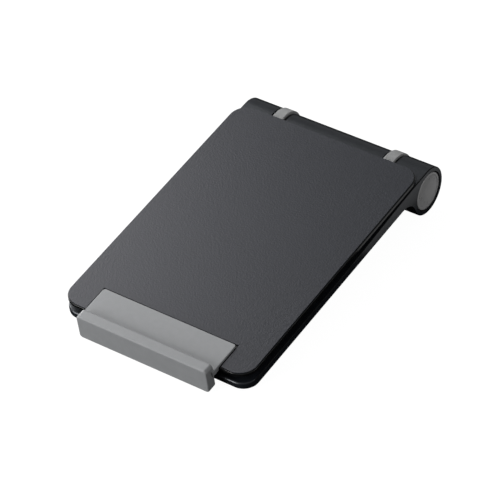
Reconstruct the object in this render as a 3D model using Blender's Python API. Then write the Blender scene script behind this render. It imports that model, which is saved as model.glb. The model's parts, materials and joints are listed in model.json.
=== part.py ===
"""Folding desk stand for a phone, lying folded on a table.

A rest plate with a soft grey lip lies over a leg plate. Two straps under the rear edge of the rest
plate end in rings that turn on a shaft inside the barrel of the leg. Everything is laid out in the
frame of the two plates (X across, Y from the front edge of the plates to the barrel, Z = 0 at the
device face), and the whole stand is then tilted so that the lip and the two bands touch the table.
"""

from math import acos, asin, atan2, cos, hypot, pi, radians, sin

import bmesh
import bpy
from mathutils import Vector

MM = 0.001

# Plates
PLATE_WIDTH = 80.5
PLATE_LENGTH = 114.6
FRONT_CORNER = 6.8
REAR_CORNER = 7.0
TRAY_TOP = -0.44
TRAY_BOTTOM = -2.0
TRAY_EDGE = 0.3
SHEET_INSET = 0.35
SHEET_EDGE = 0.12

# Leg plate and barrel
LEG_CORNER = 6.0
LEG_BOTTOM = -8.0
LEG_TOP_FRONT = -4.9
LEG_RAMP_START = 50.0
LEG_RAMP_END = 112.0
LEG_NOSE = 0.8
LEG_SIDE_CHAMFER = 0.35
BARREL_Y = 117.5
BARREL_Z = -12.3
BARREL_RADIUS = 9.55
BARREL_MIDDLE_RADIUS = 9.15
BARREL_STEP_HALF = 1.0
BARREL_FILLET = 8.0

# Hinge
BAND_X = 24.5
BAND_WIDTH = 4.4
BAND_RADIUS = 10.05
BAND_THICKNESS = 1.2
BAND_FIRST_ANGLE = 102.0
BAND_LAST_ANGLE = -220.0
SLOT_WIDTH = 6.2
SLOT_RADIUS = 10.45
ARM_WIDTH = 4.0
ARM_RADIUS = 8.75
ARM_BORE = 3.06
STRAP_FRONT = 103.0
STRAP_REAR = 115.1
STRAP_TOP = -2.08
STRAP_BOTTOM = -5.2
STRAP_ROOT_Y = 111.2
STRAP_ROOT_Z = -6.0
NOTCH_FRONT = 102.4
NOTCH_BOTTOM = -6.4
SHAFT_RADIUS = 3.0
SHAFT_HALF = 35.6
SHAFT_CHAMFER = 0.4
BARREL_BORE = 3.06
SPRING_POCKET_RADIUS = 6.3
SPRING_POCKET_START = 30.5
CAP_POCKET_RADIUS = 7.8
CAP_POCKET_START = 36.0
WASHER_RADIUS = 5.2
WASHER_THICKNESS = 0.95
SPRING_RADIUS = 5.7
SPRING_LENGTH = 1.4
NUT_ACROSS_FLATS = 9.0
NUT_LENGTH = 3.2
CAP_RADIUS = 7.42
CAP_FACE = 40.15
CAP_RIM = 0.75
CAP_DISH = 0.7
CAP_STEM_RADIUS = 6.6

# Lip
PAD_HALF = 28.5
PAD_BACK = 11.0
PAD_TOP = 0.6
PAD_BOTTOM = -0.4
PAD_CORNER = 1.0
PAD_EDGE = 0.2
PAD_MARGIN = 0.45
WRAP_REAR = -0.1
WRAP_BOTTOM = -1.7
LIP_HALF = 27.8
LIP_FRONT = -6.6
LIP_REAR = -2.35
LIP_TOP = 3.0
LIP_BOTTOM = -7.8
LIP_ROUND = 1.4
BLADE_HALF = 21.0
BLADE_Y = -4.4
BLADE_THICKNESS = 0.8
BLADE_TOP = 1.6
BLADE_BOTTOM = -6.2
FLANGE_TOP = -2.08
FLANGE_BACK = 14.0
FLANGE_CLEARANCE = 0.15

# Small parts
SCREW_HEAD_RADIUS = 1.6
SCREW_HEAD_HEIGHT = 0.8
SCREW_SHANK_RADIUS = 0.8
SCREW_END = -0.8
SCREW_HOLE_RADIUS = 0.95
SCREW_HOLE_END = -0.7
ARM_SCREW_Y = (105.0, 109.0)
LIP_SCREW_X = (-14.0, 14.0)
LIP_SCREW_Y = 8.5
FOOT_HALF = 24.0
FOOT_FRONT = 3.0
FOOT_BACK = 9.0
FOOT_BOTTOM = -8.5
FOOT_RECESS = 0.8
BUMPER_X = 31.0
BUMPER_Y = 11.0
BUMPER_RADIUS = 2.5
BUMPER_TOP = -2.1
BUMPER_RECESS = 0.6

CLEARANCE = 0.12
ROUND_STEPS = 48
CORNER_STEPS = 8


def make_material(name, color, roughness, metallic=0.0):
    material = bpy.data.materials.new(name)
    material.use_nodes = True
    shader = material.node_tree.nodes["Principled BSDF"]
    shader.inputs["Base Color"].default_value = (*color, 1.0)
    shader.inputs["Roughness"].default_value = roughness
    shader.inputs["Metallic"].default_value = metallic
    material.diffuse_color = (*color, 1.0)
    return material


def add_empty(name, parent, location, size):
    empty = bpy.data.objects.new(name, None)
    bpy.context.scene.collection.objects.link(empty)
    empty.empty_display_size = size * MM
    empty.parent = parent
    empty.location = Vector(location) * MM
    return empty


def add_mesh(name, points, faces, material, group, origin, smooth=True):
    """Points and origin are in the frame of the plates, in millimetres. A group is an empty and its place."""
    parent, parent_place = group
    mesh = bpy.data.meshes.new(name)
    offset = Vector(origin)
    mesh.from_pydata([(Vector(point) - offset) * MM for point in points], [], faces)
    shape = bmesh.new()
    shape.from_mesh(mesh)
    bmesh.ops.remove_doubles(shape, verts=shape.verts, dist=1e-7)
    bmesh.ops.recalc_face_normals(shape, faces=shape.faces)
    shape.to_mesh(mesh)
    shape.free()
    if smooth:
        mesh.polygons.foreach_set("use_smooth", [True] * len(mesh.polygons))
        mesh.set_sharp_from_angle(angle=radians(32))
    if material:
        mesh.materials.append(material)
    piece = bpy.data.objects.new(name, mesh)
    bpy.context.scene.collection.objects.link(piece)
    piece.parent = parent
    piece.location = (offset - Vector(parent_place)) * MM
    return piece


def loft(rings):
    """Points and faces of a solid through rings with the same number of points."""
    count = len(rings[0])
    points = [point for ring in rings for point in ring]
    faces = [list(range(count)), list(range(len(points) - count, len(points)))]
    for level in range(len(rings) - 1):
        for i in range(count):
            j = (i + 1) % count
            low = level * count
            faces.append([low + i, low + j, low + count + j, low + count + i])
    return points, faces


def box(x0, x1, y0, y1, z0, z1):
    return loft([[(x, y0, z0), (x, y1, z0), (x, y1, z1), (x, y0, z1)] for x in (x0, x1)])


def turned(profile, center_y, center_z, steps=ROUND_STEPS):
    """A solid turned about a line along X, from (x, radius) pairs with both ends on the line."""
    points = []
    faces = []
    rings = []
    for x, radius in profile:
        if radius == 0:
            rings.append([len(points)] * steps)
            points.append((x, center_y, center_z))
            continue
        rings.append(list(range(len(points), len(points) + steps)))
        for i in range(steps):
            angle = 2 * pi * i / steps
            points.append((x, center_y + radius * cos(angle), center_z + radius * sin(angle)))
    for first, second in zip(rings, rings[1:]):
        for i in range(steps):
            j = (i + 1) % steps
            corners = []
            for corner in (first[i], first[j], second[j], second[i]):
                if corner not in corners:
                    corners.append(corner)
            if len(corners) > 2:
                faces.append(corners)
    return points, faces


def turned_ring(profile, center_y, center_z, steps=ROUND_STEPS):
    """A ring turned about a line along X, from a closed loop of (x, radius) pairs."""
    points, faces = [], []
    count = len(profile)
    for i in range(steps):
        angle = 2 * pi * i / steps
        for x, radius in profile:
            points.append((x, center_y + radius * cos(angle), center_z + radius * sin(angle)))
    for i in range(steps):
        for k in range(count):
            after = (i + 1) % steps * count
            faces.append([i * count + k, i * count + (k + 1) % count, after + (k + 1) % count, after + k])
    return points, faces


def upright(profile, center_x, center_y, steps=24):
    """The same as turned, but about a line along Z."""
    points, faces = turned(profile, 0.0, 0.0, steps)
    return [(center_x + y, center_y + z, x) for x, y, z in points], faces


def arc(center, radius, first, last, steps):
    """Points on a circle, from one angle in degrees to another."""
    angles = [radians(first + (last - first) * i / steps) for i in range(steps + 1)]
    return [(center[0] + radius * cos(a), center[1] + radius * sin(a)) for a in angles]


def inset(outline, distance):
    """The closed outline moved inwards. It runs anticlockwise."""
    moved = []
    for i, point in enumerate(outline):
        before = Vector(outline[i - 1])
        after = Vector(outline[(i + 1) % len(outline)])
        here = Vector(point)
        one = (here - before).normalized()
        two = (after - here).normalized()
        inward = Vector((-one.y - two.y, one.x + two.x)).normalized()
        slant = max(0.5, Vector((-one.y, one.x)).dot(inward))
        moved.append(tuple(here + inward * distance / slant))
    return moved


def plate_outline(inward):
    """The plan of the rest plate, anticlockwise from its front right corner."""
    half = PLATE_WIDTH / 2
    outline = []
    corners = (
        (half, 0.0, FRONT_CORNER, -90, -1, 1),
        (half, PLATE_LENGTH, REAR_CORNER, 0, -1, -1),
        (-half, PLATE_LENGTH, REAR_CORNER, 90, 1, -1),
        (-half, 0.0, FRONT_CORNER, 180, 1, 1),
    )
    for x, y, radius, first, to_x, to_y in corners:
        center = (x + to_x * radius, y + to_y * radius)
        outline += arc(center, radius - inward, first, first + 90, CORNER_STEPS)
    return outline


def plate(levels):
    """A plate through (z, how far its edge lies inside the full plan) levels."""
    return loft([[(x, y, z) for x, y in plate_outline(inward)] for z, inward in levels])


def cut(piece, cutter, operation="DIFFERENCE"):
    cutter.hide_render = True
    cutter.display_type = "WIRE"
    modifier = piece.modifiers.new(cutter.name, "BOOLEAN")
    modifier.operation = operation
    modifier.object = cutter
    modifier.solver = "EXACT"


def leg_top(y, radius):
    """Height of the upper face of the leg, which ramps up to the top of a barrel of this radius."""
    along = min(1.0, max(0.0, (y - LEG_RAMP_START) / (LEG_RAMP_END - LEG_RAMP_START)))
    rise = along * along * (3 - 2 * along)
    return LEG_TOP_FRONT + (BARREL_Z + radius - LEG_TOP_FRONT) * rise


def leg_profile(front, inward, radius):
    """Side view (y, z) of the leg, with its nose at y = front and a barrel of this radius."""
    fillet_z = LEG_BOTTOM - BARREL_FILLET
    reach = radius + BARREL_FILLET
    fillet_y = BARREL_Y - (reach**2 - (BARREL_Z - fillet_z) ** 2) ** 0.5
    contact = atan2(fillet_z - BARREL_Z, fillet_y - BARREL_Y) * 180 / pi
    fillet_end = contact + 180
    top_nose = (front + LEG_NOSE, LEG_TOP_FRONT - LEG_NOSE)
    low_nose = (front + LEG_NOSE, LEG_BOTTOM + LEG_NOSE)
    points = arc(top_nose, LEG_NOSE, 90, 180, 3)
    points += arc(low_nose, LEG_NOSE, 180, 270, 3)
    points += arc((fillet_y, fillet_z), BARREL_FILLET, 90, fillet_end, 6)
    points += arc((BARREL_Y, BARREL_Z), radius, contact, 90, 44)[1:]
    steps = 12
    for i in range(steps + 1):
        y = LEG_RAMP_END + (LEG_RAMP_START - LEG_RAMP_END) * i / steps
        points.append((y, leg_top(y, radius)))
    return inset(points, inward) if inward else points


def leg_body():
    """The leg, whose barrel is a little slimmer between the two bands."""
    half = PLATE_WIDTH / 2
    stations = [
        (BAND_X - BARREL_STEP_HALF, 0.0, 0.0, BARREL_MIDDLE_RADIUS),
        (BAND_X + BARREL_STEP_HALF, 0.0, 0.0, BARREL_RADIUS),
    ]
    for angle in (0, 12, 24, 36, 48, 60, 71):
        x = half - LEG_CORNER + LEG_CORNER * sin(radians(angle))
        stations.append((x, LEG_CORNER * (1 - cos(radians(angle))), 0.0, BARREL_RADIUS))
    stations.append((half, LEG_CORNER, LEG_SIDE_CHAMFER, BARREL_RADIUS))
    stations = [(-station[0], *station[1:]) for station in reversed(stations)] + stations
    rings = []
    for x, front, inward, radius in stations:
        rings.append([(x, y, z) for y, z in leg_profile(front, inward, radius)])
    return loft(rings)


def arm_profile():
    """Side view of a strap and its ring, anticlockwise from the rear top of the strap."""
    rear_angle = acos((STRAP_REAR - BARREL_Y) / ARM_RADIUS) * 180 / pi
    root_angle = 180 - asin((STRAP_ROOT_Z - BARREL_Z) / ARM_RADIUS) * 180 / pi
    points = [(STRAP_REAR, STRAP_TOP), (STRAP_FRONT, STRAP_TOP), (STRAP_FRONT, STRAP_BOTTOM)]
    points.append((STRAP_ROOT_Y - 3.0, STRAP_BOTTOM))
    points += arc((BARREL_Y, BARREL_Z), ARM_RADIUS, root_angle, rear_angle + 360, 44)
    return points


def band_profile():
    """Side view of a band: a sleeve that is open where the strap leaves the ring."""
    inner = BAND_RADIUS - BAND_THICKNESS
    center = (BARREL_Y, BARREL_Z)
    points = arc(center, BAND_RADIUS, BAND_LAST_ANGLE, BAND_FIRST_ANGLE, 48)
    return points + arc(center, inner, BAND_FIRST_ANGLE, BAND_LAST_ANGLE, 48)


def slot_profile():
    """Side view of the space that a ring and its strap move in."""
    notch_angle = 180 - asin((NOTCH_BOTTOM - BARREL_Z) / SLOT_RADIUS) * 180 / pi
    points = [(BARREL_Y, 0.0), (NOTCH_FRONT, 0.0), (NOTCH_FRONT, NOTCH_BOTTOM)]
    return points + arc((BARREL_Y, BARREL_Z), SLOT_RADIUS, notch_angle, 450, 52)


def extruded(profile, x0, x1, edge=0.0):
    """A side view swept along X, with its end edges inset by the given amount."""
    if edge:
        small = inset(profile, edge)
        stations = [(x0, small), (x0 + edge, profile), (x1 - edge, profile), (x1, small)]
    else:
        stations = [(x0, profile), (x1, profile)]
    return loft([[(x, y, z) for y, z in outline] for x, outline in stations])


def pad_body():
    """The flat pad with its wrap over the front edge of the plate, before the lip is joined to it."""
    front = LIP_REAR - 1.5
    rings = []
    corner = [(0, 1.0), (30, 0.5), (60, 0.134), (90, 0.0)]
    stations = []
    for angle, share in corner:
        x = PAD_HALF - PAD_CORNER + PAD_CORNER * cos(radians(angle))
        stations.append((x, PAD_CORNER * share, PAD_EDGE if angle == 0 else 0.0))
    stations = [(-x, back, edge) for x, back, edge in stations] + list(reversed(stations))
    for x, back, edge in stations:
        outline = [
            (front, WRAP_BOTTOM),
            (WRAP_REAR, WRAP_BOTTOM),
            (WRAP_REAR, PAD_BOTTOM),
            (PAD_BACK - back, PAD_BOTTOM),
            (PAD_BACK - back, PAD_TOP - PAD_EDGE),
            (PAD_BACK - back - PAD_EDGE, PAD_TOP - edge),
            (front, PAD_TOP - edge),
        ]
        rings.append([(x, y, z) for y, z in outline])
    return loft(rings)


def screw(x, y, head_bottom):
    """A pan-head screw pointing up, head below."""
    shoulder = head_bottom + SCREW_HEAD_HEIGHT
    profile = [
        (head_bottom, 0),
        (head_bottom, SCREW_HEAD_RADIUS - 0.3),
        (head_bottom + 0.3, SCREW_HEAD_RADIUS),
        (shoulder, SCREW_HEAD_RADIUS),
        (shoulder, SCREW_SHANK_RADIUS),
        (SCREW_END, SCREW_SHANK_RADIUS),
        (SCREW_END, 0),
    ]
    return upright(profile, x, y)


for old in list(bpy.data.objects):
    bpy.data.objects.remove(old, do_unlink=True)

# Tilt that puts the lip and the bands on the table
lip_low = (LIP_FRONT + LIP_ROUND, LIP_BOTTOM + LIP_ROUND)
run = BARREL_Y - lip_low[0]
drop = lip_low[1] - BARREL_Z
TILT = asin((BAND_RADIUS - LIP_ROUND) / hypot(run, drop)) + atan2(drop, run)
table = BARREL_Y * sin(TILT) + BARREL_Z * cos(TILT) - BAND_RADIUS
front_reach = (LIP_FRONT + LIP_ROUND) * cos(TILT) - (LIP_TOP - LIP_ROUND) * sin(TILT) - LIP_ROUND
rear_reach = BARREL_Y * cos(TILT) - BARREL_Z * sin(TILT) + BAND_RADIUS

stand = add_empty("stand_frame", None, (0, -(front_reach + rear_reach) / 2, -table), 20)
stand.rotation_euler = (TILT, 0, 0)
pivot_place = (0, BARREL_Y, BARREL_Z)
pivot = add_empty("rest_pivot", stand, pivot_place, 12)
LEG = (stand, (0, 0, 0))
REST = (pivot, pivot_place)

sheet_gray = make_material("rest_sheet_charcoal", (0.062, 0.062, 0.066), 0.62)
tray_black = make_material("rest_tray_black", (0.014, 0.014, 0.016), 0.30)
leg_black = make_material("leg_black", (0.030, 0.031, 0.034), 0.42)
lip_gray = make_material("lip_gray_rubber", (0.40, 0.41, 0.42), 0.70)
band_gray = make_material("band_gray_rubber", (0.36, 0.365, 0.37), 0.65)
arm_gray = make_material("hinge_arm_gray", (0.30, 0.30, 0.31), 0.45)
cap_gray = make_material("end_cap_gray", (0.22, 0.22, 0.225), 0.38)
rubber_black = make_material("foot_black_rubber", (0.02, 0.02, 0.02), 0.85)
bumper_black = make_material("bumper_black_rubber", (0.025, 0.025, 0.025), 0.80)
shaft_steel = make_material("shaft_steel", (0.56, 0.56, 0.57), 0.28, 1.0)
bracket_steel = make_material("bracket_steel", (0.50, 0.50, 0.51), 0.40, 1.0)
screw_steel = make_material("screw_steel", (0.30, 0.30, 0.31), 0.35, 1.0)
washer_bronze = make_material("washer_bronze", (0.55, 0.38, 0.18), 0.40, 1.0)
spring_steel = make_material("spring_steel", (0.42, 0.42, 0.44), 0.35, 1.0)
nut_steel = make_material("nut_steel", (0.50, 0.50, 0.50), 0.32, 1.0)

# Rest plate
tray_levels = [
    (TRAY_BOTTOM, TRAY_EDGE),
    (TRAY_BOTTOM + TRAY_EDGE, 0.0),
    (TRAY_TOP - 0.15, 0.0),
    (TRAY_TOP, 0.15),
]
tray_center = (0, PLATE_LENGTH / 2, TRAY_BOTTOM)
rest_tray = add_mesh("rest_tray", *plate(tray_levels), tray_black, REST, tray_center)
sheet_levels = [
    (TRAY_TOP + 0.04, SHEET_INSET),
    (-SHEET_EDGE, SHEET_INSET),
    (0.0, SHEET_INSET + SHEET_EDGE),
]
sheet_center = (0, PLATE_LENGTH / 2, 0)
rest_sheet = add_mesh("rest_sheet", *plate(sheet_levels), sheet_gray, REST, sheet_center)
window = box(-PAD_HALF - PAD_MARGIN, PAD_HALF + PAD_MARGIN, -1.0, PAD_BACK + PAD_MARGIN, -1.0, 1.0)
cut(rest_sheet, add_mesh("pad_window", *window, None, REST, sheet_center))

# Lip: grey rubber over a steel bracket
block = box(-LIP_HALF, LIP_HALF, LIP_FRONT, LIP_REAR, LIP_BOTTOM, LIP_TOP)
lip_center = (0, (LIP_FRONT + LIP_REAR) / 2, (LIP_TOP + LIP_BOTTOM) / 2)
lip_pad = add_mesh("lip_pad", *block, lip_gray, REST, lip_center)
rounding = lip_pad.modifiers.new("edges", "BEVEL")
rounding.width = LIP_ROUND * MM
rounding.segments = 4
rounding.limit_method = "ANGLE"
cut(lip_pad, add_mesh("pad_body", *pad_body(), None, REST, lip_center), "UNION")
gap = FLANGE_CLEARANCE
blade_box = box(
    -BLADE_HALF - gap,
    BLADE_HALF + gap,
    BLADE_Y - BLADE_THICKNESS / 2 - gap,
    BLADE_Y + BLADE_THICKNESS / 2 + gap,
    BLADE_BOTTOM - gap,
    BLADE_TOP + gap,
)
flange_box = box(
    -BLADE_HALF - gap,
    BLADE_HALF + gap,
    BLADE_Y,
    1.0,
    FLANGE_TOP - BLADE_THICKNESS - gap,
    FLANGE_TOP + gap,
)
cut(lip_pad, add_mesh("blade_pocket", *blade_box, None, REST, lip_center))
cut(lip_pad, add_mesh("flange_pocket", *flange_box, None, REST, lip_center))

blade = [
    (FLANGE_BACK, FLANGE_TOP),
    (BLADE_Y + BLADE_THICKNESS / 2, FLANGE_TOP),
    (BLADE_Y + BLADE_THICKNESS / 2, BLADE_TOP),
    (BLADE_Y - BLADE_THICKNESS / 2, BLADE_TOP),
    (BLADE_Y - BLADE_THICKNESS / 2, BLADE_BOTTOM),
    (BLADE_Y + BLADE_THICKNESS / 2, BLADE_BOTTOM),
    (BLADE_Y + BLADE_THICKNESS / 2, FLANGE_TOP - BLADE_THICKNESS),
    (FLANGE_BACK, FLANGE_TOP - BLADE_THICKNESS),
]
bracket_center = (0, BLADE_Y, FLANGE_TOP)
bracket = extruded(blade, -BLADE_HALF, BLADE_HALF)
lip_bracket = add_mesh("lip_bracket", *bracket, bracket_steel, REST, bracket_center, smooth=False)

for side, x in zip(("left", "right"), LIP_SCREW_X):
    head_bottom = FLANGE_TOP - BLADE_THICKNESS - SCREW_HEAD_HEIGHT - 0.05
    place = (x, LIP_SCREW_Y, head_bottom)
    add_mesh("lip_screw_" + side, *screw(x, LIP_SCREW_Y, head_bottom), screw_steel, REST, place)
    hole = [(-5.0, 0), (-5.0, SCREW_HOLE_RADIUS), (SCREW_HOLE_END, SCREW_HOLE_RADIUS), (SCREW_HOLE_END, 0)]
    hole_cutter = add_mesh("lip_hole_" + side, *upright(hole, x, LIP_SCREW_Y), None, REST, place)
    cut(rest_tray, hole_cutter)
    cut(lip_bracket, hole_cutter)

# Leg with its barrel
barrel_center = (0, BARREL_Y, BARREL_Z)
leg_shell = add_mesh("leg_shell", *leg_body(), leg_black, LEG, (0, PLATE_LENGTH / 2, LEG_BOTTOM))
bore = [
    (-41, 0),
    (-41, CAP_POCKET_RADIUS),
    (-CAP_POCKET_START, CAP_POCKET_RADIUS),
    (-CAP_POCKET_START, SPRING_POCKET_RADIUS),
    (-SPRING_POCKET_START, SPRING_POCKET_RADIUS),
    (-SPRING_POCKET_START, BARREL_BORE),
    (SPRING_POCKET_START, BARREL_BORE),
    (SPRING_POCKET_START, SPRING_POCKET_RADIUS),
    (CAP_POCKET_START, SPRING_POCKET_RADIUS),
    (CAP_POCKET_START, CAP_POCKET_RADIUS),
    (41, CAP_POCKET_RADIUS),
    (41, 0),
]
cut(leg_shell, add_mesh("barrel_bore", *turned(bore, BARREL_Y, BARREL_Z), None, LEG, barrel_center))
foot_recess = box(
    -FOOT_HALF - CLEARANCE,
    FOOT_HALF + CLEARANCE,
    FOOT_FRONT - CLEARANCE,
    FOOT_BACK + CLEARANCE,
    LEG_BOTTOM - 1.0,
    LEG_BOTTOM + FOOT_RECESS,
)
cut(leg_shell, add_mesh("foot_recess", *foot_recess, None, LEG, (0, FOOT_FRONT, LEG_BOTTOM)))

foot = box(
    -FOOT_HALF, FOOT_HALF, FOOT_FRONT, FOOT_BACK, FOOT_BOTTOM, LEG_BOTTOM + FOOT_RECESS - 0.05
)
foot_place = (0, (FOOT_FRONT + FOOT_BACK) / 2, LEG_BOTTOM)
leg_foot = add_mesh("leg_foot", *foot, rubber_black, LEG, foot_place)
foot_edge = leg_foot.modifiers.new("edges", "BEVEL")
foot_edge.width = 0.25 * MM
foot_edge.segments = 2

shaft = [
    (-SHAFT_HALF, 0),
    (-SHAFT_HALF, SHAFT_RADIUS - SHAFT_CHAMFER),
    (-SHAFT_HALF + SHAFT_CHAMFER, SHAFT_RADIUS),
    (SHAFT_HALF - SHAFT_CHAMFER, SHAFT_RADIUS),
    (SHAFT_HALF, SHAFT_RADIUS - SHAFT_CHAMFER),
    (SHAFT_HALF, 0),
]
add_mesh("hinge_shaft", *turned(shaft, BARREL_Y, BARREL_Z), shaft_steel, LEG, barrel_center)

for side, sign in (("left", -1), ("right", 1)):
    band_x = sign * BAND_X
    band_center = (band_x, BARREL_Y, BARREL_Z)

    # Slot in the barrel, with a notch in the leg for the strap
    slot_start = band_x - SLOT_WIDTH / 2
    slot = extruded(slot_profile(), slot_start, slot_start + SLOT_WIDTH)
    cut(leg_shell, add_mesh("slot_" + side, *slot, None, LEG, band_center))

    # Strap with its ring, and the rubber band round the ring
    arm = extruded(arm_profile(), band_x - ARM_WIDTH / 2, band_x + ARM_WIDTH / 2)
    hinge_arm = add_mesh("hinge_arm_" + side, *arm, arm_gray, REST, band_center)
    bore = [
        (band_x - ARM_WIDTH, 0),
        (band_x - ARM_WIDTH, ARM_BORE),
        (band_x + ARM_WIDTH, ARM_BORE),
        (band_x + ARM_WIDTH, 0),
    ]
    cut(hinge_arm, add_mesh("arm_bore_" + side, *turned(bore, BARREL_Y, BARREL_Z), None, REST, band_center))
    band = extruded(band_profile(), band_x - BAND_WIDTH / 2, band_x + BAND_WIDTH / 2, 0.25)
    add_mesh("hinge_band_" + side, *band, band_gray, REST, band_center)

    for place_name, y in zip(("front", "rear"), ARM_SCREW_Y):
        name = side + "_" + place_name
        head_bottom = STRAP_BOTTOM + 0.1
        place = (band_x, y, head_bottom)
        add_mesh("arm_screw_" + name, *screw(band_x, y, head_bottom), screw_steel, REST, place)
        seat = SCREW_HEAD_RADIUS + 0.15
        seat_top = head_bottom + SCREW_HEAD_HEIGHT + 0.05
        hole = [
            (-7.0, 0),
            (-7.0, seat),
            (seat_top, seat),
            (seat_top, SCREW_HOLE_RADIUS),
            (SCREW_HOLE_END, SCREW_HOLE_RADIUS),
            (SCREW_HOLE_END, 0),
        ]
        hole_cutter = add_mesh("arm_hole_" + name, *upright(hole, band_x, y), None, REST, place)
        cut(hinge_arm, hole_cutter)
        cut(rest_tray, hole_cutter)

    # Friction washers on both sides of the ring
    for where, direction in (("inner", -1), ("outer", 1)):
        middle = band_x + sign * direction * (ARM_WIDTH / 2 + (SLOT_WIDTH - ARM_WIDTH) / 4)
        washer = [
            (middle - WASHER_THICKNESS / 2, ARM_BORE),
            (middle + WASHER_THICKNESS / 2, ARM_BORE),
            (middle + WASHER_THICKNESS / 2, WASHER_RADIUS),
            (middle - WASHER_THICKNESS / 2, WASHER_RADIUS),
        ]
        name = "friction_washer_" + side + "_" + where
        ring = turned_ring(washer, BARREL_Y, BARREL_Z)
        add_mesh(name, *ring, washer_bronze, LEG, (middle, BARREL_Y, BARREL_Z))

    # Disc spring and nut on the end of the shaft
    spring_start = SPRING_POCKET_START + 0.1
    spring_end = spring_start + SPRING_LENGTH
    waist = SPRING_RADIUS - 0.35
    spring = [
        (spring_start, ARM_BORE),
        (spring_start, SPRING_RADIUS),
        (spring_start + 0.3 * SPRING_LENGTH, SPRING_RADIUS),
        (spring_start + 0.5 * SPRING_LENGTH, waist),
        (spring_start + 0.7 * SPRING_LENGTH, SPRING_RADIUS),
        (spring_end, SPRING_RADIUS),
        (spring_end, ARM_BORE),
    ]
    spring = [(sign * x, radius) for x, radius in spring]
    spring_place = (sign * spring_start, BARREL_Y, BARREL_Z)
    ring = turned_ring(spring, BARREL_Y, BARREL_Z)
    add_mesh("disc_spring_" + side, *ring, spring_steel, LEG, spring_place)
    nut_start = spring_end + 0.1
    corner = NUT_ACROSS_FLATS / 2 / cos(pi / 6)
    hexagon = arc((BARREL_Y, BARREL_Z), corner, 0, 300, 5)
    nut = extruded(hexagon, min(sign * nut_start, sign * (nut_start + NUT_LENGTH)),
                   max(sign * nut_start, sign * (nut_start + NUT_LENGTH)), 0.3)
    nut_place = (sign * nut_start, BARREL_Y, BARREL_Z)
    shaft_nut = add_mesh("shaft_nut_" + side, *nut, nut_steel, LEG, nut_place, smooth=False)
    bore = [(sign * 30.0, 0), (sign * 30.0, ARM_BORE), (sign * 37.0, ARM_BORE), (sign * 37.0, 0)]
    nut_bore = turned(bore, BARREL_Y, BARREL_Z)
    cut(shaft_nut, add_mesh("nut_bore_" + side, *nut_bore, None, LEG, nut_place))

    # Dished end cap
    dish = [(CAP_FACE - CAP_DISH * (1 - (r / 6.0) ** 2), r * (CAP_RADIUS - CAP_RIM) / 6.0) for r in range(6)]
    cap = dish + [
        (CAP_FACE, CAP_RADIUS - CAP_RIM),
        (CAP_FACE, CAP_RADIUS - 0.2),
        (CAP_FACE - 0.2, CAP_RADIUS),
        (CAP_FACE - 1.7, CAP_RADIUS),
        (CAP_FACE - 1.7, CAP_STEM_RADIUS),
        (CAP_POCKET_START + 0.1, CAP_STEM_RADIUS),
        (CAP_POCKET_START + 0.1, 0),
    ]
    cap = [(sign * x, radius) for x, radius in cap]
    cap_place = (sign * CAP_FACE, BARREL_Y, BARREL_Z)
    add_mesh("end_cap_" + side, *turned(cap, BARREL_Y, BARREL_Z), cap_gray, LEG, cap_place)

    # Bumper between the plates
    bumper_x = sign * BUMPER_X
    bumper_place = (bumper_x, BUMPER_Y, LEG_TOP_FRONT)
    low = LEG_TOP_FRONT - BUMPER_RECESS
    pocket = [(low, 0), (low, BUMPER_RADIUS + 0.15), (0, BUMPER_RADIUS + 0.15), (0, 0)]
    pocket_cutter = add_mesh(
        "bumper_pocket_" + side, *upright(pocket, bumper_x, BUMPER_Y, 32), None, LEG, bumper_place
    )
    cut(leg_shell, pocket_cutter)
    bumper = [
        (low + 0.05, 0),
        (low + 0.05, BUMPER_RADIUS),
        (BUMPER_TOP - 0.5, BUMPER_RADIUS),
        (BUMPER_TOP - 0.15, BUMPER_RADIUS - 0.15),
        (BUMPER_TOP, BUMPER_RADIUS - 0.5),
        (BUMPER_TOP, 0),
    ]
    dot = upright(bumper, bumper_x, BUMPER_Y, 32)
    add_mesh("bumper_" + side, *dot, bumper_black, LEG, bumper_place)
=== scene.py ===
"""Folding phone stand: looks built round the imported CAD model."""

import json
from math import acos, asin, atan2, copysign, cos, degrees, pi, radians, sin

import bmesh
import bpy
from mathutils import Matrix, Vector


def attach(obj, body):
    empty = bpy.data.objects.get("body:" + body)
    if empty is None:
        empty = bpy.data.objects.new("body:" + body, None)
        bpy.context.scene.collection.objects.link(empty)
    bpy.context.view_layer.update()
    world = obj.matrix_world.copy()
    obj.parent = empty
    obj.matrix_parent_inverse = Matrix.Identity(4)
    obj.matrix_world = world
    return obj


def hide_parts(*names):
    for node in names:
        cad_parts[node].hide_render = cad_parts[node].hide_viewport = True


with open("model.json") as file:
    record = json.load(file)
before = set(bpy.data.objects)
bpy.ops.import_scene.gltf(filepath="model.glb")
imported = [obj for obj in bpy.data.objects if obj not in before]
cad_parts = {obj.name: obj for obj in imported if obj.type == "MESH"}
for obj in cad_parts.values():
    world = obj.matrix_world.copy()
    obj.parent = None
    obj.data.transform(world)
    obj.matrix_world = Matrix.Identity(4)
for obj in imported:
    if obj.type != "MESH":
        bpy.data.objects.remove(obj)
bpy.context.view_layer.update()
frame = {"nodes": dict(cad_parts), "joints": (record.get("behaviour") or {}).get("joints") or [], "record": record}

MM = 0.001

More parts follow.
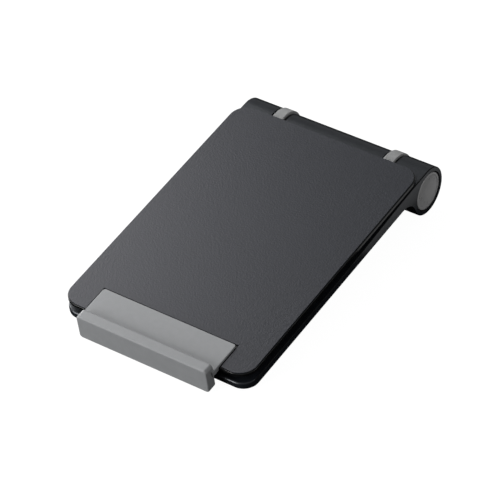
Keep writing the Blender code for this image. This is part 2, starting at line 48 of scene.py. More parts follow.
# Sizes in the frame of the two plates, in millimetres. They follow the CAD, except that the lip's edges, the
# groove round the pad and the dish of the end caps are finer here
PLATE_WIDTH = 80.5
PLATE_LENGTH = 114.6
FRONT_CORNER = 6.8
REAR_CORNER = 7.0
TRAY_TOP = -0.44
TRAY_BOTTOM = -2.0
TRAY_LOW_EDGE = 0.45
TRAY_TOP_EDGE = 0.18
SHEET_INSET = 0.35
SHEET_GAP = 0.04
SHEET_EDGE = 0.12
LEG_CORNER = 6.0
LEG_BOTTOM = -8.0
LEG_TOP_FRONT = -4.9
LEG_RAMP_START = 50.0
LEG_RAMP_END = 112.0
LEG_NOSE = 0.8
LEG_SIDE_ROUND = 0.35
BARREL_Y = 117.5
BARREL_Z = -12.3
BARREL_RADIUS = 9.55
BARREL_MIDDLE_RADIUS = 9.15
BARREL_STEP_HALF = 1.0
BARREL_FILLET = 8.0
BAND_X = 24.5
BAND_WIDTH = 4.4
BAND_RADIUS = 10.05
BAND_THICKNESS = 1.2
BAND_EDGE = 0.3
BAND_FIRST_ANGLE = 102.0
BAND_LAST_ANGLE = -220.0
SLOT_WIDTH = 6.2
SLOT_RADIUS = 10.45
ARM_WIDTH = 4.0
ARM_RADIUS = 8.75
ARM_EDGE = 0.2
SHAFT_BORE = 3.06
STRAP_FRONT = 103.0
STRAP_REAR = 115.1
STRAP_TOP = -2.08
STRAP_BOTTOM = -5.2
STRAP_SCREW_HEAD = -5.1
STRAP_ROOT_Y = 111.2
STRAP_ROOT_Z = -6.0
NOTCH_FRONT = 102.4
NOTCH_BOTTOM = -6.4
SPRING_POCKET_RADIUS = 6.3
SPRING_POCKET_START = 30.5
CAP_POCKET_RADIUS = 7.8
CAP_POCKET_START = 36.0
CAP_POCKET_MOUTH = 0.2
CAP_RADIUS = 7.42
CAP_FACE = 40.15
CAP_RIM = 0.75
CAP_DISH = 0.75
CAP_STEP = 0.25
CAP_EDGE = 0.25
CAP_THICKNESS = 1.7
CAP_STEM_RADIUS = 6.6
PAD_HALF = 28.5
PAD_BACK = 11.0
PAD_TOP = 0.6
PAD_BOTTOM = -0.4
PAD_CORNER = 1.0
PAD_EDGE = 0.22
PAD_MARGIN = 0.6
WRAP_REAR = -0.1
WRAP_BOTTOM = -1.7
WRAP_EDGE = 0.18
PAD_OVERLAP = 1.5
LIP_HALF = 28.0
LIP_FRONT = -6.6
LIP_REAR = -2.35
LIP_TOP = 3.0
LIP_BOTTOM = -7.72
LIP_CORNER = 1.4
LIP_EDGE = 0.6
SCREW_HEAD_RADIUS = 1.6
SCREW_HEAD_HEIGHT = 0.8
SCREW_SHANK_RADIUS = 0.8
SCREW_END = -0.8
SCREW_STEPS = 32
HOLE_GAP = 0.15
FLANGE_BOTTOM = -2.88
ARM_SCREW_Y = (105.0, 109.0)
LIP_SCREW_X = (-14.0, 14.0)
LIP_SCREW_Y = 8.5
FOOT_HALF = 24.0
FOOT_FRONT = 3.0
FOOT_BACK = 9.0
FOOT_BOTTOM = -8.5
FOOT_RECESS = 0.8
FOOT_GAP = 0.12
FOOT_RIBS = 4
SEAT_GAP = 0.05
BUMPER_X = 31.0
BUMPER_Y = 11.0
BUMPER_RADIUS = 2.5
BUMPER_TOP = -2.1
BUMPER_RECESS = 0.6
BUMPER_EDGE = 0.8
ROUND_STEPS = 96
AXIS = (BARREL_Y, BARREL_Z)

# Where the frame of the plates lies: it tilts as the device face does, and the joint is on the barrel's axis
mounts = {mount["name"]: mount for mount in frame["record"]["mounts"]}
device_normal = Vector(mounts["device_face"]["axis"])
TILT = atan2(-device_normal.y, device_normal.z)
hinge_place = Vector(frame["joints"][0]["pos_m"])
tilt_turn = Matrix.Rotation(TILT, 4, "X")
plates_origin = hinge_place - tilt_turn @ (Vector((0, BARREL_Y, BARREL_Z)) * MM)
PLATES = Matrix.Translation(plates_origin) @ tilt_turn


# ---------------------------------------------------------------- camera
CAMERA_AZIMUTH = radians(36.11)
CAMERA_ELEVATION = radians(39.90)
CAMERA_ROLL = radians(-2.73)
CAMERA_DISTANCE = 1.0717
CAMERA_LENS = 216.0
CAMERA_TARGET = (6.60, 51.88, 0.0)


def add_camera():
    back = Vector((
        sin(CAMERA_AZIMUTH) * cos(CAMERA_ELEVATION),
        -cos(CAMERA_AZIMUTH) * cos(CAMERA_ELEVATION),
        sin(CAMERA_ELEVATION),
    ))
    right = (-back).cross(Vector((0, 0, 1))).normalized()
    up = right.cross(-back)
    level_right = right * cos(CAMERA_ROLL) + up * sin(CAMERA_ROLL)
    level_up = up * cos(CAMERA_ROLL) - right * sin(CAMERA_ROLL)
    data = bpy.data.cameras.new("camera")
    data.lens = CAMERA_LENS
    data.sensor_width = 36.0
    data.clip_start = 0.05
    data.clip_end = 20.0
    camera = bpy.data.objects.new("camera", data)
    bpy.context.scene.collection.objects.link(camera)
    turn = Matrix((level_right, level_up, back)).transposed().to_4x4()
    target = PLATES @ (Vector(CAMERA_TARGET) * MM)
    camera.matrix_world = Matrix.Translation(target + back * CAMERA_DISTANCE) @ turn
    bpy.context.scene.camera = camera


# ---------------------------------------------------------------- mesh tools
def make_object(name, points, faces, sharp_angle=30.0):
    """A mesh object at rest, from points in millimetres in the frame of the plates."""
    mesh = bpy.data.meshes.new(name)
    mesh.from_pydata([PLATES @ (Vector(point) * MM) for point in points], [], faces)
    shape = bmesh.new()
    shape.from_mesh(mesh)
    bmesh.ops.remove_doubles(shape, verts=shape.verts, dist=1e-7)
    bmesh.ops.recalc_face_normals(shape, faces=shape.faces)
    shape.to_mesh(mesh)
    shape.free()
    mesh.polygons.foreach_set("use_smooth", [True] * len(mesh.polygons))
    mesh.set_sharp_from_angle(angle=radians(sharp_angle))
    piece = bpy.data.objects.new(name, mesh)
    bpy.context.scene.collection.objects.link(piece)
    return piece


def cut(piece, cutters, operation="DIFFERENCE"):
    """Booleans, applied one after the other, whose cutters are then removed."""
    for cutter in cutters:
        modifier = piece.modifiers.new("cut", "BOOLEAN")
        modifier.operation = operation
        modifier.object = cutter
        modifier.solver = "EXACT"
    bake(piece)
    for cutter in cutters:
        bpy.data.objects.remove(cutter, do_unlink=True)


def bake(piece, sharp_angle=30.0):
    """Modifiers turned into mesh, with hard edges where faces meet at more than the angle."""
    bpy.context.view_layer.update()
    graph = bpy.context.evaluated_depsgraph_get()
    mesh = bpy.data.meshes.new_from_object(piece.evaluated_get(graph))
    piece.modifiers.clear()
    piece.data = mesh
    mesh.polygons.foreach_set("use_smooth", [True] * len(mesh.polygons))
    mesh.set_sharp_from_angle(angle=radians(sharp_angle))


def even_shading(piece):
    """Normals weighted by face area, so that flat faces stay flat up to their rounded edges."""
    modifier = piece.modifiers.new("even_shading", "WEIGHTED_NORMAL")
    modifier.mode = "FACE_AREA"
    modifier.weight = 100
    modifier.keep_sharp = True
    bpy.context.view_layer.update()
    graph = bpy.context.evaluated_depsgraph_get()
    mesh = bpy.data.meshes.new_from_object(piece.evaluated_get(graph))
    piece.modifiers.clear()
    piece.data = mesh


def finish_piece(piece, material, body, nodes):
    even_shading(piece)
    piece.data.materials.clear()
    piece.data.materials.append(material)
    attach(piece, body)
    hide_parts(*nodes)


def loft(rings):
    count = len(rings[0])
    points = [point for ring in rings for point in ring]
    faces = [list(range(count)), list(range(len(points) - count, len(points)))]
    for level in range(len(rings) - 1):
        for i in range(count):
            j = (i + 1) % count
            low = level * count
            faces.append([low + i, low + j, low + count + j, low + count + i])
    return points, faces


def box(x0, x1, y0, y1, z0, z1):
    return loft([[(x, y0, z0), (x, y1, z0), (x, y1, z1), (x, y0, z1)] for x in (x0, x1)])


def turned(profile, steps=ROUND_STEPS, center=AXIS):
    """A solid turned about a line along X, from (x, radius) pairs with both ends on the line."""
    points = []
    faces = []
    rings = []
    for x, radius in profile:
        if radius == 0:
            rings.append([len(points)] * steps)
            points.append((x, *center))
            continue
        rings.append(list(range(len(points), len(points) + steps)))
        for i in range(steps):
            angle = 2 * pi * i / steps
            points.append((x, center[0] + radius * cos(angle), center[1] + radius * sin(angle)))
    for first, second in zip(rings, rings[1:]):
        for i in range(steps):
            j = (i + 1) % steps
            corners = []
            for corner in (first[i], first[j], second[j], second[i]):
                if corner not in corners:
                    corners.append(corner)
            if len(corners) > 2:
                faces.append(corners)
    return points, faces


def upright(profile, center_x, center_y, steps=48):
    """The same as turned, but about a line along Z, from (z, radius) pairs."""
    points, faces = turned(profile, steps, (0.0, 0.0))
    return [(center_x + y, center_y + z, x) for x, y, z in points], faces


def arc(center, radius, first, last, steps):
    angles = [radians(first + (last - first) * i / steps) for i in range(steps + 1)]
    return [(center[0] + radius * cos(a), center[1] + radius * sin(a)) for a in angles]


def inset(outline, distance):
    """The closed outline, which runs anticlockwise, moved inwards."""
    moved = []
    for i, point in enumerate(outline):
        before = Vector(outline[i - 1])
        after = Vector(outline[(i + 1) % len(outline)])
        here = Vector(point)
        one = (here - before).normalized()
        two = (after - here).normalized()
        inward = Vector((-one.y - two.y, one.x + two.x)).normalized()
        slant = max(0.5, Vector((-one.y, one.x)).dot(inward))
        moved.append(tuple(here + inward * distance / slant))
    return moved


def rounded_outline(corners, steps=6):
    """An outline through (y, z, radius) corners, anticlockwise, each rounded to its radius."""
    outline = []
    for i, (y, z, radius) in enumerate(corners):
        here = Vector((y, z))
        before = Vector(corners[i - 1][:2]) - here
        after = Vector(corners[(i + 1) % len(corners)][:2]) - here
        if radius == 0:
            outline.append((y, z))
            continue
        one = before.normalized()
        two = after.normalized()
        half = acos(max(-1.0, min(1.0, one.dot(two)))) / 2
        center = here + (one + two).normalized() * (radius / sin(half))
        start = here + one * (radius / (sin(half) / cos(half)))
        end = here + two * (radius / (sin(half) / cos(half)))
        first = atan2(start.y - center.y, start.x - center.x)
        last = atan2(end.y - center.y, end.x - center.x)
        if last - first > pi:
            last -= 2 * pi
        if first - last > pi:
            last += 2 * pi
        outline += arc(center, radius, degrees(first), degrees(last), steps)
    return outline


def swept(profile, x0, x1, rounding=0.0, steps=4):
    """A side view (y, z) swept along X, with its two end edges rounded."""
    stations = []
    if rounding:
        for i in range(steps + 1):
            angle = pi / 2 * i / steps
            stations.append((x0 + rounding * (1 - sin(angle)), rounding * (1 - cos(angle))))
        stations = list(reversed(stations))
        stations += [(x0 + x1 - x, inward) for x, inward in reversed(stations)]
    else:
        stations = [(x0, 0.0), (x1, 0.0)]
    rings = []
    for x, inward in stations:
        outline = inset(profile, inward) if inward else profile
        rings.append([(x, y, z) for y, z in outline])
    return loft(rings)


# ---------------------------------------------------------------- materials
def add_node(tree, kind, **settings):
    node = tree.nodes.new(kind)
    for key, value in settings.items():
        if key in node.inputs:
            node.inputs[key].default_value = value
        else:
            setattr(node, key, value)
    return node


def make_material(name, dark, light, roughness, **options):
    """Principled material with mottled colour and roughness over a fine relief.

    options: metallic, specular, tint of the reflections, mottle and grain (sizes in mm), rough_spread, bump,
    and relief: "noise", "pebble" for a moulded leather-like grain, "brushed" along X, or "rings" round the
    barrel's axis.
    """
    material = bpy.data.materials.new(name)
    material.use_nodes = True
    tree = material.node_tree
    link = tree.links.new
    shader = tree.nodes["Principled BSDF"]
    shader.inputs["Metallic"].default_value = options.get("metallic", 0.0)
    shader.inputs["Specular IOR Level"].default_value = options.get("specular", 0.5)
    shader.inputs["Specular Tint"].default_value = (*options.get("tint", (1.0, 1.0, 1.0)), 1.0)
    place = add_node(tree, "ShaderNodeTexCoord")

    mottle = add_node(tree, "ShaderNodeTexNoise", Scale=1.0 / (options.get("mottle", 6.0) * MM), Detail=6.0)
    link(place.outputs["Object"], mottle.inputs["Vector"])
    ramp = add_node(tree, "ShaderNodeValToRGB")
    for element, position, color in zip(ramp.color_ramp.elements, (0.3, 0.7), (dark, light)):
        element.position = position
        element.color = (*color, 1.0)
    link(mottle.outputs["Fac"], ramp.inputs["Fac"])
    link(ramp.outputs["Color"], shader.inputs["Base Color"])
    spread = options.get("rough_spread", 0.05)
    rough = add_node(tree, "ShaderNodeMapRange")
    rough.inputs["From Min"].default_value = 0.3
    rough.inputs["From Max"].default_value = 0.7
    rough.inputs["To Min"].default_value = roughness - spread
    rough.inputs["To Max"].default_value = roughness + spread
    link(mottle.outputs["Fac"], rough.inputs["Value"])
    link(rough.outputs["Result"], shader.inputs["Roughness"])

    relief = options.get("relief", "noise")
    scale = 1.0 / (options.get("grain", 0.35) * MM)
    mapping = add_node(tree, "ShaderNodeMapping")
    link(place.outputs["Object"], mapping.inputs["Vector"])
    if relief == "brushed":
        mapping.inputs["Scale"].default_value = (0.05, 1.0, 1.0)
    if relief == "rings":
        mapping.inputs["Location"].default_value = -hinge_place
        grain = add_node(tree, "ShaderNodeTexWave", Scale=scale / 6.0, Distortion=1.0, Detail=1.0)
        grain.wave_type = "RINGS"
        grain.rings_direction = "X"
        height = grain.outputs["Fac"]
    elif relief == "pebble":
        grain = add_node(tree, "ShaderNodeTexVoronoi", Scale=scale)
        grain.feature = "SMOOTH_F1"
        height = grain.outputs["Distance"]
    else:
        grain = add_node(tree, "ShaderNodeTexNoise", Scale=scale, Detail=3.0)
        height = grain.outputs["Fac"]
    link(mapping.outputs["Vector"], grain.inputs["Vector"])
    bump = add_node(tree, "ShaderNodeBump", Strength=options.get("bump", 0.1), Distance=0.1 * MM)
    link(height, bump.inputs["Height"])
    link(bump.outputs["Normal"], shader.inputs["Normal"])
    return material


SHEET = make_material(
    "charcoal_sheet", (0.0084, 0.0104, 0.0136), (0.0110, 0.0136, 0.0178), 0.42,
    relief="pebble", grain=0.6, bump=0.40, mottle=1.4, rough_spread=0.02, tint=(1.0, 0.98, 1.04),
)
TRAY = make_material(
    "black_tray", (0.0030, 0.0032, 0.0036), (0.0046, 0.0049, 0.0054), 0.24,
    grain=1.6, bump=0.05, mottle=4.0, specular=0.4,
)
LEG = make_material(
    "black_leg", (0.0060, 0.0072, 0.0092), (0.0088, 0.0104, 0.0132), 0.33,
    grain=0.3, bump=0.10, mottle=3.0, rough_spread=0.03, tint=(0.96, 1.0, 1.06),
)
# Darker, less shiny copy of the leg's black for the rounding along the leg's sides: a painted dark reflection line
# along those edges
LEG_EDGE_PAINTED_DARK_REFLECTION = make_material(
    "leg_edge_painted_dark_reflection", (0.0015, 0.0015, 0.0018), (0.0024, 0.0024, 0.0028), 0.22,
    grain=0.3, bump=0.03, mottle=3.0, rough_spread=0.03, specular=0.12,
)
LIP = make_material(
    "gray_lip", (0.205, 0.210, 0.216), (0.222, 0.227, 0.233), 0.58,
    grain=0.4, bump=0.16, mottle=2.5,
)
BAND = make_material(
    "gray_band", (0.228, 0.230, 0.231), (0.264, 0.266, 0.267), 0.60,
    grain=0.4, bump=0.22, mottle=1.5,
)
ARM = make_material(
    "gray_arm", (0.060, 0.060, 0.062), (0.080, 0.080, 0.082), 0.42,
    grain=0.5, bump=0.12,
)
CAP = make_material(
    "gray_cap", (0.235, 0.235, 0.237), (0.262, 0.262, 0.264), 0.28,
    relief="rings", grain=0.3, bump=0.06, mottle=4.0, rough_spread=0.01, specular=0.8,
)
FOOT = make_material(
    "foot_rubber", (0.010, 0.010, 0.010), (0.016, 0.016, 0.016), 0.80,
    grain=0.5, bump=0.4,
)
STEEL = make_material(
    "plain_steel", (0.42, 0.42, 0.43), (0.50, 0.50, 0.51), 0.30,
    metallic=1.0, relief="brushed", grain=0.2, bump=0.15, mottle=2.0,
)
DARK_STEEL = make_material(
    "dark_steel", (0.14, 0.14, 0.145), (0.20, 0.20, 0.205), 0.35,
    metallic=1.0, grain=0.2, bump=0.12, mottle=1.0,
)
BRONZE = make_material(
    "dull_bronze", (0.36, 0.23, 0.11), (0.46, 0.31, 0.15), 0.42,
    metallic=1.0, grain=0.2, bump=0.15, mottle=1.5,
)

CARRIED_OVER = {
    "hinge_shaft": STEEL,
    "lip_bracket": STEEL,
    "friction_washer_left_inner": BRONZE,
    "friction_washer_left_outer": BRONZE,
    "friction_washer_right_inner": BRONZE,
    "friction_washer_right_outer": BRONZE,
    "disc_spring_left": DARK_STEEL,
    "disc_spring_right": DARK_STEEL,
    "shaft_nut_left": STEEL,
    "shaft_nut_right": STEEL,
}


# ---------------------------------------------------------------- rest plate
def plate_outline(inward, steps=20):
    half = PLATE_WIDTH / 2
    outline = []
    corners = (
        (half, 0.0, FRONT_CORNER, -90, -1, 1),
        (half, PLATE_LENGTH, REAR_CORNER, 0, -1, -1),
        (-half, PLATE_LENGTH, REAR_CORNER, 90, 1, -1),
        (-half, 0.0, FRONT_CORNER, 180, 1, 1),
    )
    for x, y, radius, first, to_x, to_y in corners:
        center = (x + to_x * radius, y + to_y * radius)
        outline += arc(center, radius - inward, first, first + 90, steps)
    return outline


def plate(levels):
    return loft([[(x, y, z) for x, y in plate_outline(inward)] for z, inward in levels])


def edge_levels(z, rounding, inward, going_up, steps=4):
    """(z, inward) levels round an upper or a lower edge of a plate."""
    levels = []
    for i in range(steps + 1):
        angle = pi / 2 * i / steps
        fall = rounding * (1 - sin(angle))
        levels.append((z - fall if going_up else z + fall, inward + rounding * (1 - cos(angle))))
    return levels if going_up else list(reversed(levels))


def add_tray():
    levels = edge_levels(TRAY_BOTTOM, TRAY_LOW_EDGE, 0.0, False)
    levels += edge_levels(TRAY_TOP, TRAY_TOP_EDGE, 0.0, True)
    tray = make_object("tray", *plate(levels))
    finish_piece(tray, TRAY, "rest", ["rest_tray"])


def add_sheet():
    levels = [(TRAY_TOP + SHEET_GAP, SHEET_INSET)] + edge_levels(0.0, SHEET_EDGE, SHEET_INSET, True, 3)
    sheet = make_object("sheet", *plate(levels))
    half = PAD_HALF + PAD_MARGIN
    window = box(-half, half, -1.0, PAD_BACK + PAD_MARGIN, -1.0, 1.0)
    cut(sheet, [make_object("window", *window)])
    finish_piece(sheet, SHEET, "rest", ["rest_sheet"])


def add_lip():
    """Pad, wrap and lip, moulded as one."""
    corners = (
        (-LIP_HALF, LIP_BOTTOM, LIP_CORNER),
        (LIP_HALF, LIP_BOTTOM, LIP_CORNER),
        (LIP_HALF, LIP_TOP, LIP_CORNER),
        (-LIP_HALF, LIP_TOP, LIP_CORNER),
    )
    stations = []
    for i in range(7):
        angle = pi / 2 * i / 6
        stations.append((LIP_FRONT + LIP_EDGE * (1 - sin(angle)), LIP_EDGE * (1 - cos(angle))))
    stations = list(reversed(stations))
    stations += [(LIP_FRONT + LIP_REAR - y, inward) for y, inward in reversed(stations)]
    rings = []
    for y, inward in stations:
        outline = []
        for x, z, radius in corners:
            outline.append((x - copysign(inward, x), z + (inward if z < 0 else -inward), radius - inward))
        rings.append([(x, y, z) for x, z in rounded_outline(outline, 10)])
    lip = make_object("lip", *loft(rings))
    front = LIP_REAR - PAD_OVERLAP
    outline = [(PAD_HALF, front)]
    outline += arc((PAD_HALF - PAD_CORNER, PAD_BACK - PAD_CORNER), PAD_CORNER, 0, 90, 8)
    outline += [(-x, y) for x, y in reversed(outline)]
    levels = [(PAD_BOTTOM, 0.0)] + edge_levels(PAD_TOP, PAD_EDGE, 0.0, True)
    rings = [[(x, y, z) for x, y in inset(outline, inward)] for z, inward in levels]
    pad = make_object("pad", *loft(rings))
    top = PAD_TOP / 2
    wrap_profile = [(front, WRAP_BOTTOM), (WRAP_REAR, WRAP_BOTTOM), (WRAP_REAR, top), (front, top)]
    wrap = make_object("wrap", *swept(wrap_profile, -PAD_HALF, PAD_HALF, WRAP_EDGE, 3))
    cut(lip, [pad, wrap], "UNION")
    finish_piece(lip, LIP, "rest", ["lip_pad"])


# ---------------------------------------------------------------- leg
def leg_top(y, radius):
    along = min(1.0, max(0.0, (y - LEG_RAMP_START) / (LEG_RAMP_END - LEG_RAMP_START)))
    rise = along * along * (3 - 2 * along)
    return LEG_TOP_FRONT + (BARREL_Z + radius - LEG_TOP_FRONT) * rise


def leg_profile(front, inward, radius):
    fillet_z = LEG_BOTTOM - BARREL_FILLET
    reach = radius + BARREL_FILLET
    fillet_y = BARREL_Y - (reach**2 - (BARREL_Z - fillet_z) ** 2) ** 0.5
    contact = degrees(atan2(fillet_z - BARREL_Z, fillet_y - BARREL_Y))
    points = arc((front + LEG_NOSE, LEG_TOP_FRONT - LEG_NOSE), LEG_NOSE, 90, 180, 5)
    points += arc((front + LEG_NOSE, LEG_BOTTOM + LEG_NOSE), LEG_NOSE, 180, 270, 5)
    points += arc((fillet_y, fillet_z), BARREL_FILLET, 90, contact + 180, 14)
    points += arc(AXIS, radius, contact, 90, 88)[1:]
    steps = 24
    for i in range(steps + 1):
        y = LEG_RAMP_END + (LEG_RAMP_START - LEG_RAMP_END) * i / steps
        points.append((y, leg_top(y, radius)))
    return inset(points, inward) if inward else points


def slot_profile():
    notch_angle = 180 - degrees(asin((NOTCH_BOTTOM - BARREL_Z) / SLOT_RADIUS))
    points = [(BARREL_Y, 0.0), (NOTCH_FRONT, 0.0), (NOTCH_FRONT, NOTCH_BOTTOM)]
    return points + arc(AXIS, SLOT_RADIUS, notch_angle, 450, 96)


def add_leg():
    half = PLATE_WIDTH / 2
    full_width = half - LEG_SIDE_ROUND
    stations = [
        (BAND_X - BARREL_STEP_HALF, 0.0, 0.0, BARREL_MIDDLE_RADIUS),
        (BAND_X + BARREL_STEP_HALF, 0.0, 0.0, BARREL_RADIUS),
    ]
    steps = 16
    corner_end = asin((full_width - half + LEG_CORNER) / LEG_CORNER)
    for i in range(steps + 1):
        angle = corner_end * i / steps
        x = half - LEG_CORNER + LEG_CORNER * sin(angle)
        stations.append((x, LEG_CORNER * (1 - cos(angle)), 0.0, BARREL_RADIUS))
    last_front = stations[-1][1]
    for i in range(1, 5):
        angle = pi / 2 * i / 4
        x = full_width + LEG_SIDE_ROUND * sin(angle)
        front = last_front + (LEG_CORNER - last_front) * sin(angle)
        stations.append((x, front, LEG_SIDE_ROUND * (1 - cos(angle)), BARREL_RADIUS))
    stations = [(-station[0], *station[1:]) for station in reversed(stations)] + stations
    rings = []
    for x, front, inward, radius in stations:
        rings.append([(x, y, z) for y, z in leg_profile(front, inward, radius)])
    leg = make_object("leg", *loft(rings))
    mouth = CAP_POCKET_MOUTH
    bore = [
        (half + 1, 0),
        (half + 1, CAP_POCKET_RADIUS + mouth + 1),
        (half - mouth, CAP_POCKET_RADIUS),
        (CAP_POCKET_START, CAP_POCKET_RADIUS),
        (CAP_POCKET_START, SPRING_POCKET_RADIUS),
        (SPRING_POCKET_START, SPRING_POCKET_RADIUS),
        (SPRING_POCKET_START, SHAFT_BORE),
    ]
    bore += [(-x, radius) for x, radius in reversed(bore)]
    cutters = [make_object("bore", *turned(bore))]
    foot_half = FOOT_HALF + FOOT_GAP
    front = FOOT_FRONT - FOOT_GAP
    back = FOOT_BACK + FOOT_GAP
    foot_recess = box(-foot_half, foot_half, front, back, LEG_BOTTOM - 1, LEG_BOTTOM + FOOT_RECESS)
    cutters.append(make_object("foot_recess", *foot_recess))
    for sign in (-1, 1):
        middle = sign * BAND_X
        slot = swept(slot_profile(), middle - SLOT_WIDTH / 2, middle + SLOT_WIDTH / 2)
        cutters.append(make_object("slot", *slot))
        low = LEG_TOP_FRONT - BUMPER_RECESS
        pocket_radius = BUMPER_RADIUS + HOLE_GAP
        pocket = [(low, 0), (low, pocket_radius), (0, pocket_radius), (0, 0)]
        cutters.append(make_object("pocket", *upright(pocket, sign * BUMPER_X, BUMPER_Y)))
    cut(leg, cutters)
    finish_piece(leg, LEG, "leg", ["leg_shell"])
    # The faces of the side rounding take the darker copy, which paints a dark reflection line along the leg's
    # edges
    leg.data.materials.append(LEG_EDGE_PAINTED_DARK_REFLECTION)
    for face in leg.data.polygons:
        on_rounding = abs(face.center.x) / MM > full_width + 0.01
        if on_rounding and abs(face.normal.x) < 0.98:
            face.material_index = 1


def add_foot():
    """Rubber strip with grip ribs along it."""
    top = LEG_BOTTOM + FOOT_RECESS - SEAT_GAP
    outline = [(FOOT_BACK, top, 0.0), (FOOT_FRONT, top, 0.0), (FOOT_FRONT, FOOT_BOTTOM, 0.25)]
    pitch = (FOOT_BACK - FOOT_FRONT - 1.2) / FOOT_RIBS
    for i in range(FOOT_RIBS):
        y = FOOT_FRONT + 0.6 + pitch * i + pitch / 2
        outline.append((y - 0.35, FOOT_BOTTOM, 0.08))
        outline.append((y - 0.15, FOOT_BOTTOM + 0.3, 0.08))
        outline.append((y + 0.15, FOOT_BOTTOM + 0.3, 0.08))
        outline.append((y + 0.35, FOOT_BOTTOM, 0.08))
    outline.append((FOOT_BACK, FOOT_BOTTOM, 0.25))
    foot = make_object("foot", *swept(rounded_outline(outline, 3), -FOOT_HALF, FOOT_HALF, 0.2, 3))
    finish_piece(foot, FOOT, "leg", ["leg_foot"])


def add_side_parts(side, sign):
    middle = sign * BAND_X

    # Strap and ring
    rear_angle = degrees(acos((STRAP_REAR - BARREL_Y) / ARM_RADIUS))
    root_angle = 180 - degrees(asin((STRAP_ROOT_Z - BARREL_Z) / ARM_RADIUS))
    profile = [(STRAP_REAR, STRAP_TOP), (STRAP_FRONT, STRAP_TOP), (STRAP_FRONT, STRAP_BOTTOM)]
    profile.append((STRAP_ROOT_Y - 3.0, STRAP_BOTTOM))
    profile += arc(AXIS, ARM_RADIUS, root_angle, rear_angle + 360, 88)
    arm = swept(profile, middle - ARM_WIDTH / 2, middle + ARM_WIDTH / 2, ARM_EDGE, 3)
    arm = make_object("arm_" + side, *arm)
    bore = [(middle - 4, 0), (middle - 4, SHAFT_BORE), (middle + 4, SHAFT_BORE), (middle + 4, 0)]
    cutters = [make_object("bore", *turned(bore))]
    seat_top = STRAP_SCREW_HEAD + SCREW_HEAD_HEIGHT + SEAT_GAP
    for y in ARM_SCREW_Y:
        seat = SCREW_HEAD_RADIUS + HOLE_GAP
        hole = [
            (-7.0, 0),
            (-7.0, seat),
            (seat_top, seat),
            (seat_top, SCREW_SHANK_RADIUS + HOLE_GAP),
            (-1.0, SCREW_SHANK_RADIUS + HOLE_GAP),
            (-1.0, 0),
        ]
        cutters.append(make_object("hole", *upright(hole, middle, y, SCREW_STEPS)))
    cut(arm, cutters)
    finish_piece(arm, ARM, "rest", ["hinge_arm_" + side])

    # Rubber band round the ring
    inner = BAND_RADIUS - BAND_THICKNESS
    profile = arc(AXIS, BAND_RADIUS, BAND_LAST_ANGLE, BAND_FIRST_ANGLE, 96)
    profile += arc(AXIS, inner, BAND_FIRST_ANGLE, BAND_LAST_ANGLE, 96)
    band = swept(profile, middle - BAND_WIDTH / 2, middle + BAND_WIDTH / 2, BAND_EDGE)
    band = make_object("band_" + side, *band)
    finish_piece(band, BAND, "rest", ["hinge_band_" + side])

    # Dished cap in the end of the barrel
    dish = []
    rings = 12
    rim_radius = CAP_RADIUS - CAP_RIM
    for i in range(rings):
        share = i / rings
        depth = CAP_STEP + CAP_DISH * (1 - share**2)
        dish.append((CAP_FACE - depth, share * (rim_radius - CAP_STEP)))
    rim = [
        (CAP_FACE - CAP_STEP, rim_radius - CAP_STEP),
        (CAP_FACE - 0.3 * CAP_STEP, rim_radius - 0.7 * CAP_STEP),
        (CAP_FACE, rim_radius),
    ]
    for i in range(5):
        angle = pi / 2 * i / 4
        rim.append((CAP_FACE - CAP_EDGE * (1 - cos(angle)), CAP_RADIUS - CAP_EDGE * (1 - sin(angle))))
    stem = [
        (CAP_FACE - CAP_THICKNESS, CAP_RADIUS),
        (CAP_FACE - CAP_THICKNESS, CAP_STEM_RADIUS),
        (CAP_POCKET_START + 2 * SEAT_GAP, CAP_STEM_RADIUS),
        (CAP_POCKET_START + 2 * SEAT_GAP, 0),
    ]
    cap = [(sign * x, radius) for x, radius in dish + rim + stem]
    cap = make_object("cap_" + side, *turned(cap))
    finish_piece(cap, CAP, "leg", ["end_cap_" + side])

    # Bumper with a domed top
    low = LEG_TOP_FRONT - BUMPER_RECESS + SEAT_GAP
    dome = [(low, 0), (low, BUMPER_RADIUS)]
    for i in range(7):
        angle = pi / 2 * i / 6
        radius = BUMPER_RADIUS - BUMPER_EDGE * (1 - cos(angle))
        dome.append((BUMPER_TOP - BUMPER_EDGE * (1 - sin(angle)), radius))
    dome.append((BUMPER_TOP, 0))
    bumper = make_object("bumper_" + side + "_dome", *upright(dome, sign * BUMPER_X, BUMPER_Y))
    finish_piece(bumper, FOOT, "leg", ["bumper_" + side])


def add_screw(name, x, y, head_bottom, node):
    """Pan-head screw with a cross recess, head down."""
    shoulder = head_bottom + SCREW_HEAD_HEIGHT
    profile = [(head_bottom, 0)]
    for i in range(6):
        angle = pi / 2 * i / 5
        z = head_bottom + 0.5 * (1 - sin(angle))
        profile.append((z, SCREW_HEAD_RADIUS - 0.5 + 0.5 * cos(angle)))
    profile = [profile[0]] + list(reversed(profile[1:]))
    profile += [
        (shoulder, SCREW_HEAD_RADIUS),
        (shoulder, SCREW_SHANK_RADIUS),
        (SCREW_END, SCREW_SHANK_RADIUS),
        (SCREW_END, 0),
    ]
    screw = make_object(name, *upright(profile, x, y, SCREW_STEPS))
    cutters = []
    for long_x, long_y in ((0.95, 0.2), (0.2, 0.95)):
        low = [(-1, -1), (1, -1), (1, 1), (-1, 1)]
        outer = [(x + a * long_x, y + b * long_y, head_bottom - 0.2) for a, b in low]
        inner = [(x + a * long_x * 0.45, y + b * long_y * 0.6, head_bottom + 0.5) for a, b in low]
        cutters.append(make_object("cross", *loft([outer, inner])))
    cut(screw, cutters)
    finish_piece(screw, DARK_STEEL, "rest", [node])


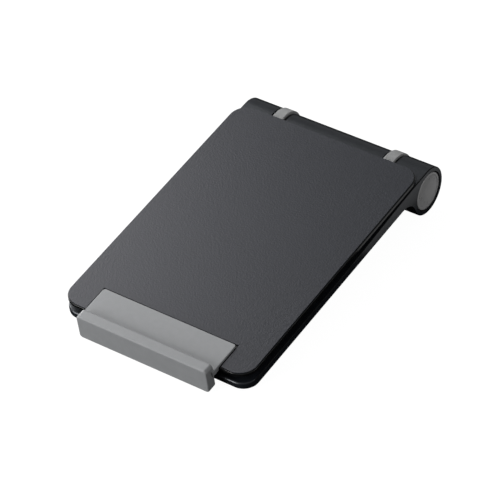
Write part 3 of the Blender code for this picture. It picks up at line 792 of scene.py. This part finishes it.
# ---------------------------------------------------------------- studio
def add_plane(name, z, brightness, glow):
    """A matte white, gray or black square on the ground, part of the stage."""
    half = 3.0
    corners = [(-half, -half, z), (half, -half, z), (half, half, z), (-half, half, z)]
    mesh = bpy.data.meshes.new(name)
    mesh.from_pydata(corners, [], [(0, 1, 2, 3)])
    plane = bpy.data.objects.new(name, mesh)
    bpy.context.scene.collection.objects.link(plane)
    material = bpy.data.materials.new(name)
    material.use_nodes = True
    shader = material.node_tree.nodes["Principled BSDF"]
    shader.inputs["Base Color"].default_value = (brightness, brightness, brightness, 1.0)
    shader.inputs["Roughness"].default_value = 0.9
    shader.inputs["Specular IOR Level"].default_value = 0.0
    shader.inputs["Emission Color"].default_value = (1.0, 1.0, 1.0, 1.0)
    shader.inputs["Emission Strength"].default_value = glow
    mesh.materials.append(material)
    return plane


def add_floor():
    """White table that the camera sees, over a dark board that stops the light from below."""
    floor = add_plane("floor", -0.0002, 0.10, 0.97)
    floor.visible_diffuse = False
    floor.visible_glossy = False
    board = add_plane("board", -0.004, 0.02, 0.0)
    board.visible_camera = False


def add_area_light(name, place, target, size, power):
    data = bpy.data.lights.new(name, "AREA")
    data.shape = "RECTANGLE"
    data.size = size[0]
    data.size_y = size[1]
    data.energy = power
    light = bpy.data.objects.new(name, data)
    bpy.context.scene.collection.objects.link(light)
    light.location = place
    light.rotation_euler = (Vector(target) - Vector(place)).to_track_quat("-Z", "Y").to_euler()
    light.visible_camera = False


def add_world(strength):
    """Even white light from all round."""
    world = bpy.data.worlds.new("studio")
    bpy.context.scene.world = world
    world.use_nodes = True
    background = world.node_tree.nodes["Background"]
    background.inputs["Color"].default_value = (1.0, 1.0, 1.0, 1.0)
    background.inputs["Strength"].default_value = strength


add_camera()
add_tray()
add_sheet()
add_lip()
add_leg()
add_foot()
for side, sign in (("left", -1), ("right", 1)):
    add_side_parts(side, sign)
    for where, y in zip(("front", "rear"), ARM_SCREW_Y):
        name = side + "_" + where
        add_screw("strap_screw_" + name, sign * BAND_X, y, STRAP_SCREW_HEAD, "arm_screw_" + name)
for side, x in zip(("left", "right"), LIP_SCREW_X):
    head_bottom = FLANGE_BOTTOM - SCREW_HEAD_HEIGHT - SEAT_GAP
    add_screw("bracket_screw_" + side, x, LIP_SCREW_Y, head_bottom, "lip_screw_" + side)
for node, material in CARRIED_OVER.items():
    for slot in frame["nodes"][node].material_slots:
        slot.material = material

add_floor()
add_world(0.28)
# Places, targets and sizes in metres, power in watts
add_area_light("left", (-0.80, 0.10, 0.30), (0, 0.02, 0), (0.6, 0.6), 6.8)
add_area_light("near", (-0.35, 0.10, 0.25), (0, 0.02, 0), (0.3, 0.3), 1.0)
add_area_light("mirror", (-0.41, 0.46, 0.70), (0, 0.05, 0), (0.4, 0.4), 0.14)
add_area_light("top", (-0.30, -0.15, 0.85), (0, 0, 0), (0.7, 0.7), 0.5)
add_area_light("front", (-0.45, -0.80, 0.22), (0, 0, 0.01), (0.5, 0.5), 9.5)
add_area_light("right", (0.85, 0.15, 0.25), (0, 0.03, 0.01), (0.4, 0.4), 1.3)
add_area_light("card", (0.088, 0.085, 0.0002), (0.088, 0.085, 1.0), (0.08, 0.12), 0.012)
bpy.context.scene.view_settings.view_transform = "Standard"
